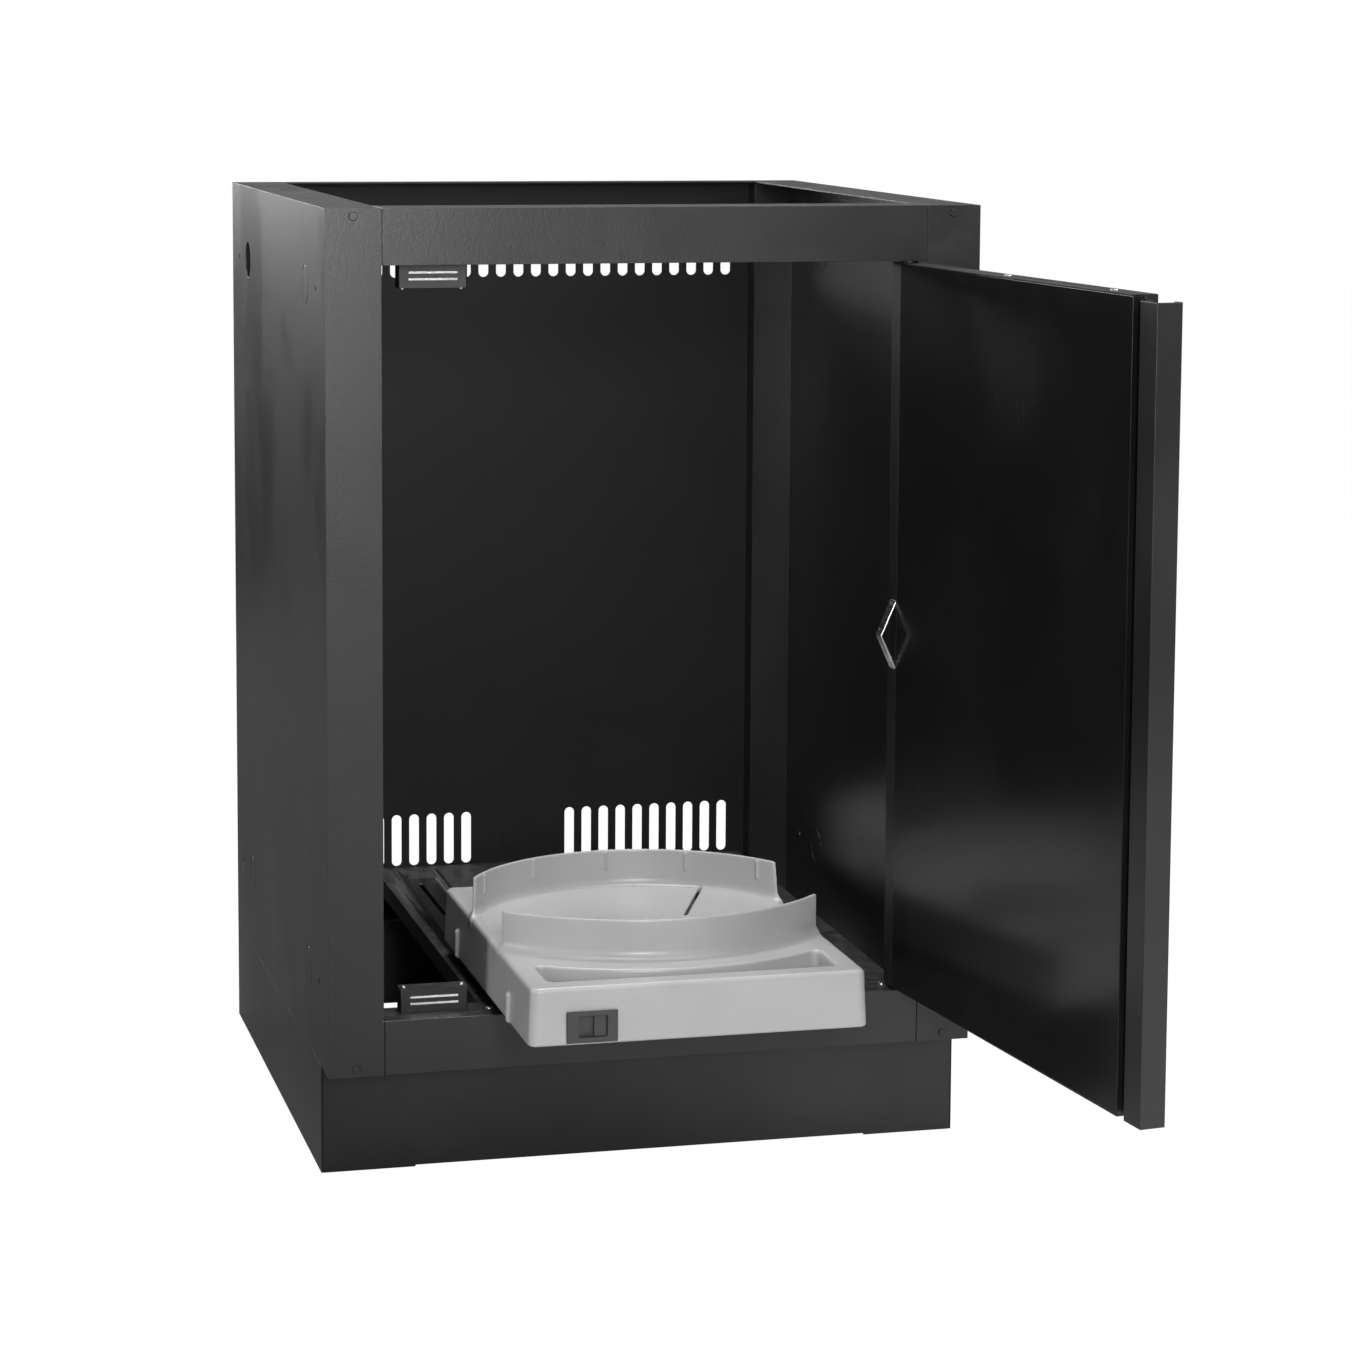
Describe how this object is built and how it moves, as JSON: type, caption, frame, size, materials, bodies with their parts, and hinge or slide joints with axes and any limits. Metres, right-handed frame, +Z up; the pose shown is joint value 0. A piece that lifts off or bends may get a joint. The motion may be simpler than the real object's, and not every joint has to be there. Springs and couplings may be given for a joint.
{
  "type": "gas bottle cabinet",
  "caption": "Outdoor-kitchen base cabinet in black sheet steel with an inset hinged door and a pull-out moulded tray that holds a gas bottle.",
  "frame": {"origin": "on the floor, at the centre of the cabinet's footprint, which is also the centre of the four floor anchor holes", "axes": "+Z up; -Y out of the cabinet's front; +X to the right when seen from the front"},
  "size_m": [0.607, 1.0816, 0.875],
  "materials": {
    "black_powder_coat": "fine-textured satin black powder coat",
    "door_coat": "fine-textured satin black powder coat",
    "gloss_liner": "smooth gloss black coat",
    "black_plastic": "matt moulded plastic",
    "bright_steel": "bright zinc-plated steel",
    "ferrite": "sintered ferrite",
    "zinc_steel": "zinc-plated rolled steel",
    "fastener_steel": "plated steel",
    "grey_moulding": "smooth moulded plastic, light grey",
    "dark_grey_plastic": "moulded plastic, mid grey"
  },
  "bodies": {
    "cabinet": {"back_panel": "black_powder_coat", "back_rivets": "black_powder_coat", "bottom_front_rail": "black_powder_coat", "catch_housing_bottom": "black_plastic", "catch_housing_top": "black_plastic", "catch_magnet_bottom": "ferrite", "catch_magnet_top": "ferrite", "catch_poles_bottom": "bright_steel", "catch_poles_top": "bright_steel", "catch_screws": "fastener_steel", "floor_plate": "black_powder_coat", "hinge_pin_bottom": "bright_steel", "hinge_pin_top": "bright_steel", "latch_keeper": "zinc_steel", "plate_screws": "fastener_steel", "plinth_back": "black_powder_coat", "plinth_front": "black_powder_coat", "plinth_side_left": "black_powder_coat", "plinth_side_right": "black_powder_coat", "post_rivets": "black_powder_coat", "side_panel_left": "black_powder_coat", "side_panel_right": "black_powder_coat", "slide_outer_left": "zinc_steel", "slide_outer_right": "zinc_steel", "slide_screws": "fastener_steel", "top_front_rail": "black_powder_coat"},
    "door": {"door_bush_bottom": "black_plastic", "door_bush_top": "black_plastic", "door_liner": "gloss_liner", "door_rivets": "fastener_steel", "door_skin": "door_coat", "hose_guide": "bright_steel"},
    "slide_stage_left": {"slide_middle_left": "zinc_steel"},
    "slide_stage_right": {"slide_middle_right": "zinc_steel"},
    "tray": {"tray_base": "grey_moulding", "ring_rear_wall": "grey_moulding", "ring_front_wall": "grey_moulding", "latch_bezel": "dark_grey_plastic", "bolt_guide": "grey_moulding", "slide_inner_left": "zinc_steel", "slide_inner_right": "zinc_steel", "tray_screws": "fastener_steel"},
    "latch_slider": {"latch_slider": "dark_grey_plastic"},
    "latch_bolt": {"latch_bolt": "dark_grey_plastic"}
  },
  "joints": [
    {"name": "door_swing", "type": "hinge", "parent": "cabinet", "child": "door", "pos_m": [0.2365, -0.2935, 0.4875], "axis": [0, 0, 1], "range_deg": [-97, 0]},
    {"name": "tray_slide", "type": "slide", "parent": "cabinet", "child": "tray", "axis": [0, -1, 0], "range_m": [-0.31, 0]},
    {"name": "stage_slide_left", "type": "slide", "parent": "cabinet", "child": "slide_stage_left", "axis": [0, -1, 0], "range_m": [-0.155, 0]},
    {"name": "stage_slide_right", "type": "slide", "parent": "cabinet", "child": "slide_stage_right", "axis": [0, -1, 0], "range_m": [-0.155, 0]},
    {"name": "latch_slide", "type": "slide", "parent": "tray", "child": "latch_slider", "axis": [-1, 0, 0], "range_m": [0, 0.012]},
    {"name": "bolt_drop", "type": "slide", "parent": "tray", "child": "latch_bolt", "axis": [0, 0, -1], "range_m": [0, 0.009]}
  ],
  "couplings": [
    {"joint": "tray_slide", "follows": "door_swing", "m_per_rad": 0.18311},
    {"joint": "stage_slide_left", "follows": "door_swing", "m_per_rad": 0.091555},
    {"joint": "stage_slide_right", "follows": "door_swing", "m_per_rad": 0.091555},
    {"joint": "bolt_drop", "follows": "latch_slide", "ratio": 0.75}
  ]
}
